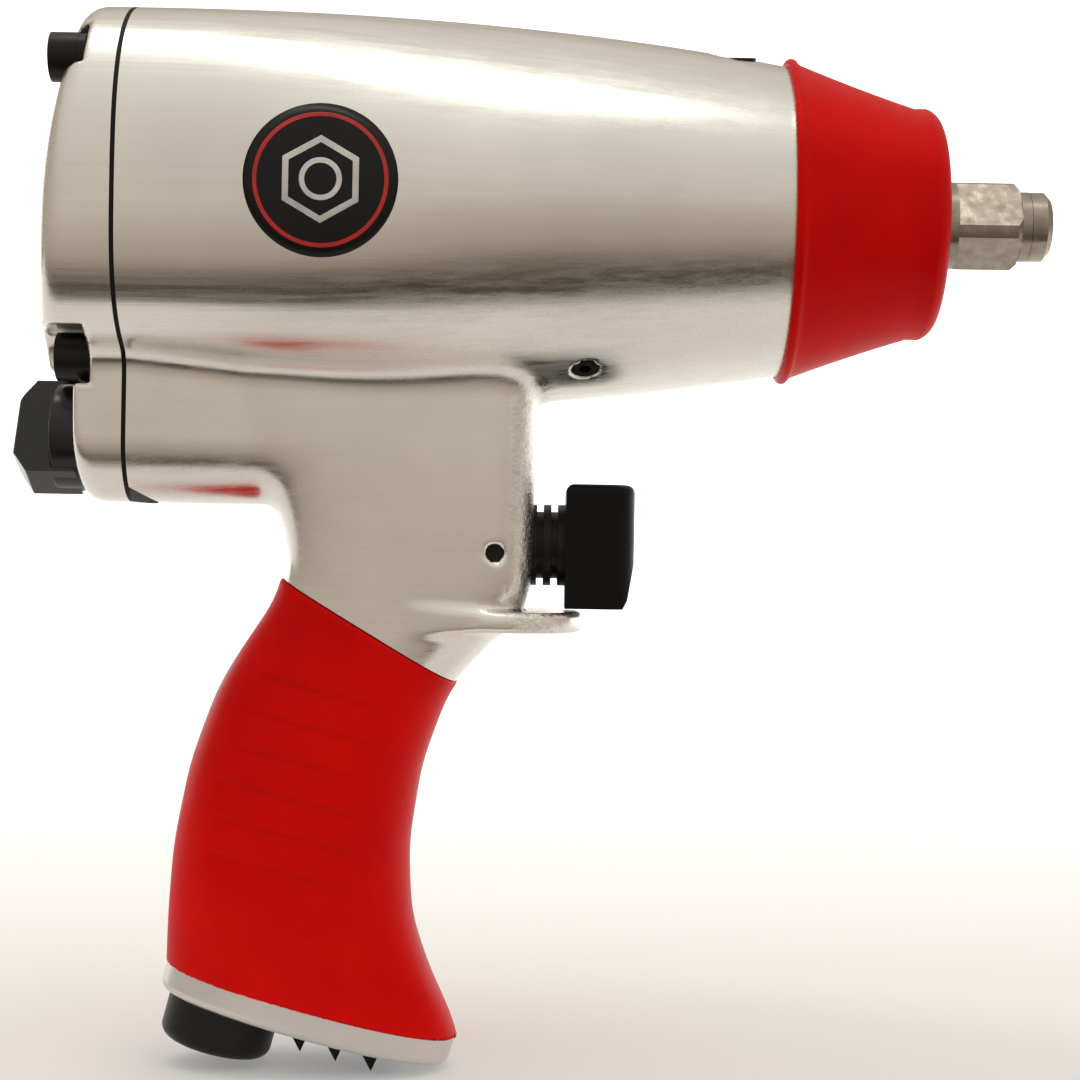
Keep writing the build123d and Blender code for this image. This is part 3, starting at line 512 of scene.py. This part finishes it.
def make_materials():
    return {
        "polished_aluminium": brushed_aluminium("polished_aluminium", (0.86, 0.845, 0.785), 0.25),
        "cast_aluminium": brushed_aluminium("cast_aluminium", (0.74, 0.72, 0.69), 0.34, (60, 500, 500)),
        "red_rubber": red_rubber(),
        "black_seal": plastic("black_seal", (0.006, 0.006, 0.006), 0.6, 0.02, 0.2),
        "black_oxide": plastic("black_oxide", (0.006, 0.005, 0.004), 0.38, 0.012, 0.25),
        "black_plastic": plastic("black_plastic", (0.002, 0.002, 0.002), 0.36, 0.02, 0.16),
        "gloss_black_plastic": plastic("gloss_black_plastic", (0.004, 0.004, 0.004), 0.22, 0.006, 0.45),
        "label": plastic("label", (0.005, 0.005, 0.005), 0.35, 0.003, 0.25),
        "muffler_felt": felt(),
        "brass": turned_steel("brass", (0.72, 0.52, 0.24), 0.28),
        "vane_resin": plastic("vane_resin", (0.20, 0.09, 0.035), 0.5, 0.03),
        "anvil_steel": turned_steel("anvil_steel", (0.38, 0.335, 0.28), 0.27, (3600, 160, 160), 0.78),
        "machined_steel": turned_steel("machined_steel", (0.55, 0.54, 0.53), 0.26),
    }


def dress_frame(frame, materials):
    slots = {part["node"]: part["material_slot"] for part in frame["record"]["subparts"]}
    for name, node in frame["nodes"].items():
        node.data.materials.clear()
        node.data.materials.append(materials[slots[name]])


# ---- pieces ----
def motor_housing(materials):
    points, quads = surface_net(housing_field, (SEAM_X - 3, -38, -90), (NOSE_X + 3, 38, 38), 0.8)
    piece = new_piece("housing_skin", points, quads, materials["polished_aluminium"], "housing")
    cut(piece, (SEAM_X, 0, 0), (-1, 0, 0))
    cut(piece, (NOSE_X + 0.2, 0, 0), (1, 0, 0))
    downward = (-math.sin(SLEEVE_TOP_SLOPE), 0, -math.cos(SLEEVE_TOP_SLOPE))
    cut(piece, (SLEEVE_TOP_AT[0], 0, SLEEVE_TOP_AT[1]), downward)
    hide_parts("motor_housing")


def rear_cover(materials):
    points, quads = surface_net(cover_field, (-168, -38, -56), (SEAM_X + 2, 38, 38), 0.6)
    piece = new_piece("rear_cover_skin", points, quads, materials["polished_aluminium"], "housing")
    cut(piece, (SEAM_X - GASKET, 0, 0), (1, 0, 0))
    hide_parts("rear_cover")


def grip_sleeve(materials):
    points, quads = surface_net(sleeve_field, (-144, -20, -155), (-84, 20, -60), 0.5)
    piece = new_piece("grip_sleeve_skin", points, quads, materials["red_rubber"], "housing")
    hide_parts("grip_sleeve")


def arc(centre, radius, start, end, count):
    """Points (x, r) along an arc; angles in degrees from +X towards +R."""
    points = []
    for i in range(count):
        a = math.radians(start + (end - start) * i / (count - 1))
        points.append((centre[0] + radius * math.cos(a), centre[1] + radius * math.sin(a)))
    return points


def nose_boot(materials):
    lip = arc((-30.75, 28.6), 0.9, 180, 10, 9)
    side = []
    for t in np.linspace(0.02, 0.97, 18):
        hollow = 0.9 * ((1 - t) ** 2 - (1 - t))
        side.append((-29.7 + 22.3 * t, 28.55 - 7.8 * t + hollow))
    corner = arc((-7.2, 17.3), 3.9, 72, 0, 12)
    mouth = arc((-4.2, 10.5), 0.9, 0, -90, 5)
    inner = [(-6.4, 9.6), (-6.5, 16.8), (-7.4, 18.0), (-26.0, 24.2), (-31.2, 25.4)]
    profile = lip + side + corner + mouth + inner
    piece = lathe_x("nose_boot_skin", profile, materials["red_rubber"], "housing")
    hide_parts("nose_boot")


def on_barrel(x, z, proud):
    """The point of the right flank at x and z, a little proud of it."""
    y = np.full(np.shape(x), -34.0)
    for _ in range(30):
        y = y + (barrel(x, y, z) - proud)
    return y


def flank_sheet(name, outline_points, hole_points, proud, material, thick=0.2):
    """A thin sheet on the flank between two outlines of equal count, or filled to one point."""
    outline_points, hole_points = np.array(outline_points), np.array(hole_points)
    rings = [outline_points * (1 - t) + hole_points * t for t in np.linspace(0, 1, 8)]
    rows = []
    for ring in rings:
        x, z = ring[:, 0], ring[:, 1]
        rows.append(np.stack([x, on_barrel(x, z, proud), z], axis=1))
    rows.insert(0, rows[0] + np.array([0, thick, 0]))
    n = len(outline_points)
    faces = [(r * n + i, r * n + (i + 1) % n, (r + 1) * n + (i + 1) % n, (r + 1) * n + i)
             for r in range(len(rows) - 1) for i in range(n)]
    piece = new_piece(name, np.concatenate(rows), faces, material, "housing")
    work = bmesh.new()
    work.from_mesh(piece.data)
    bmesh.ops.recalc_face_normals(work, faces=work.faces)
    if sum(f.normal.y for f in work.faces) > 0:
        bmesh.ops.reverse_faces(work, faces=work.faces)
    work.to_mesh(piece.data)
    work.free()
    return piece


def circle(radius):
    cx, cz = LABEL_AT
    turns = [2 * math.pi * i / OUTLINE_POINTS for i in range(OUTLINE_POINTS)]
    return [(cx + radius * math.cos(a), cz + radius * math.sin(a)) for a in turns]


def polygon(radius, sides):
    """A regular polygon with the same number of points as circle()."""
    cx, cz = LABEL_AT
    sector = math.pi / sides
    points = []
    for i in range(OUTLINE_POINTS):
        a = 2 * math.pi * i / OUTLINE_POINTS
        reach = radius * math.cos(sector) / math.cos((a + sector) % (2 * sector) - sector)
        points.append((cx + reach * math.cos(a), cz + reach * math.sin(a)))
    return points


def label(materials):
    centre = [LABEL_AT] * OUTLINE_POINTS
    disc = flank_sheet("label_disc_skin", circle(LABEL_R), centre, 0.22, materials["label"])
    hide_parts("label_disc")
    white = plastic("label_white", (0.55, 0.55, 0.54), 0.35, 0.002)
    red = plastic("label_red", (0.45, 0.012, 0.01), 0.35, 0.002)
    flank_sheet("label_hexagon", polygon(7.4, 6), polygon(6.2, 6), 0.28, white, 0.05)
    flank_sheet("label_ring", circle(3.6), circle(2.7), 0.28, white, 0.05)
    flank_sheet("label_rim", circle(11.4), circle(10.7), 0.28, red, 0.05)


# ---- stage, light, camera ----
CAMERA_AT = (-74.6, -410.0, -58.9)
CAMERA_LENS = 74.5
CAMERA_ROLL = math.radians(1.0)
FLOOR_Z = -155.6
STAGE_HALF = 2600.0
FLOOR_NEAR_Y = -110.0
WALL_Y = 1300.0
WALL_HEIGHT = 525.0
WALL_LIGHT = 0.78
FLOOR_FAR_LIGHT = 0.5                         # the floor's own glow at its far part
FLOOR_LIGHT_Y_M = (-0.3, 0.4)                 # where that glow starts and where it is full
LIGHT_FROM = (0.05, -0.33, 0.94)       # the soft light over and in front of the tool, which the metal mirrors
# how squarely a direction meets LIGHT_FROM, from -1 to 1, and the light seen there
SKY = [(-1.0, 0.03), (-0.4, 0.05), (-0.2, 0.20), (-0.05, 0.42),
       (0.3, 0.50), (0.45, 0.68), (0.7, 0.72), (0.97, 0.86)]
SKY_DARK_TINT = (1.0, 0.72, 0.52)
SKY_LIGHT_TINT = (1.0, 0.97, 0.92)
WARM = (1.0, 0.965, 0.895)


def sheet(name, x0, x1, y0, y1, z0, z1, paint):
    """A flat stage piece from the near lower edge at y0, z0 to the far upper edge at y1, z1."""
    corners = [(x0, y0, z0), (x1, y0, z0), (x1, y1, z1), (x0, y1, z1)]
    mesh = bpy.data.meshes.new(name)
    mesh.from_pydata([tuple(c * MM for c in corner) for corner in corners], [], [(0, 1, 2, 3)])
    mesh.materials.append(paint.material)
    piece = bpy.data.objects.new(name, mesh)
    bpy.context.scene.collection.objects.link(piece)


def make_stage():
    pale = Paint("floor")
    pale.set(Base_Color=(0.70, 0.69, 0.67, 1), Roughness=0.9, Specular_IOR_Level=0.2)
    pale.set(Emission_Color=(1, 1, 1, 1))
    split = pale.node("ShaderNodeSeparateXYZ")
    pale.link(pale.place, split.inputs["Vector"])
    far_light = pale.span(split.outputs["Y"], 0.0, FLOOR_FAR_LIGHT, *FLOOR_LIGHT_Y_M)
    pale.link(far_light, pale.shader.inputs["Emission Strength"])
    sheet("floor", -STAGE_HALF, STAGE_HALF, FLOOR_NEAR_Y, WALL_Y, FLOOR_Z, FLOOR_Z, pale)
    white = Paint("backdrop")
    white.set(Base_Color=(0.9, 0.9, 0.9, 1), Roughness=1.0)
    white.set(Emission_Color=(1, 1, 1, 1), Emission_Strength=WALL_LIGHT)
    sheet("backdrop", -STAGE_HALF, STAGE_HALF, WALL_Y, WALL_Y, FLOOR_Z, FLOOR_Z + WALL_HEIGHT, white)


def area_light(name, place, aim, size, power, tint=(1, 1, 1)):
    light = bpy.data.lights.new(name, "AREA")
    light.shape = "RECTANGLE"
    light.size, light.size_y = size[0] * MM, size[1] * MM
    light.energy = power
    light.color = tint
    lamp = bpy.data.objects.new(name, light)
    lamp.location = Vector(place) * MM
    lamp.rotation_euler = (Vector(aim) - Vector(place)).to_track_quat("-Z", "Y").to_euler()
    bpy.context.scene.collection.objects.link(lamp)


def make_world():
    """A soft sky round LIGHT_FROM, falling to a dark warm room below and behind the camera."""
    world = bpy.data.worlds.new("studio")
    world.use_nodes = True
    tree = world.node_tree
    place = tree.nodes.new("ShaderNodeTexCoord")
    facing = tree.nodes.new("ShaderNodeVectorMath")
    facing.operation = "DOT_PRODUCT"
    facing.inputs[1].default_value = Vector(LIGHT_FROM).normalized()
    tree.links.new(place.outputs["Generated"], facing.inputs[0])
    span = tree.nodes.new("ShaderNodeMapRange")
    span.inputs["From Min"].default_value = -1
    tree.links.new(facing.outputs["Value"], span.inputs["Value"])
    ramp = tree.nodes.new("ShaderNodeValToRGB")
    ramp.color_ramp.interpolation = "EASE"
    while len(ramp.color_ramp.elements) < len(SKY):
        ramp.color_ramp.elements.new(0.5)
    brightest = SKY[-1][1]
    for element, (at, value) in zip(ramp.color_ramp.elements, SKY):
        element.position = (at + 1) / 2
        share = value / brightest
        tint = [d + (l - d) * share for d, l in zip(SKY_DARK_TINT, SKY_LIGHT_TINT)]
        element.color = tuple(value * t for t in tint) + (1,)
    tree.links.new(span.outputs["Result"], ramp.inputs["Fac"])
    tree.links.new(ramp.outputs["Color"], tree.nodes["Background"].inputs["Color"])
    bpy.context.scene.world = world


def make_camera():
    data = bpy.data.cameras.new("camera")
    data.lens = CAMERA_LENS
    data.sensor_width = 36
    data.clip_start, data.clip_end = 0.01, 20
    camera = bpy.data.objects.new("camera", data)
    look = Vector((0, 1, 0)).to_track_quat("-Z", "Y").to_matrix().to_4x4()
    place = Matrix.Translation(Vector(CAMERA_AT) * MM)
    camera.matrix_world = place @ look @ Matrix.Rotation(CAMERA_ROLL, 4, "Z")
    bpy.context.scene.collection.objects.link(camera)
    bpy.context.scene.camera = camera


def make_lights():
    middle = (-80, 0, -40)
    area_light("key", (-180, -130, 900), middle, (900, 220), 1.9, WARM)


with open("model.json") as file:
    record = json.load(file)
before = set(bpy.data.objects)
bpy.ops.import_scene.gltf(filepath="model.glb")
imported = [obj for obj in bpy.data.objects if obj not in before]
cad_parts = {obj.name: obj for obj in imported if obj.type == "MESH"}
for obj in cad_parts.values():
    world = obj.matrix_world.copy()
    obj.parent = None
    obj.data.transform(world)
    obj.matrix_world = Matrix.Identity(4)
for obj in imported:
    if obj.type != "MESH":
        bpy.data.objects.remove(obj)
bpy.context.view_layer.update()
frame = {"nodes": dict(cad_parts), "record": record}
materials = make_materials()
dress_frame(frame, materials)
motor_housing(materials)
rear_cover(materials)
grip_sleeve(materials)
nose_boot(materials)
label(materials)
make_stage()
make_world()
make_lights()
make_camera()
bpy.context.scene.view_settings.view_transform = "Standard"
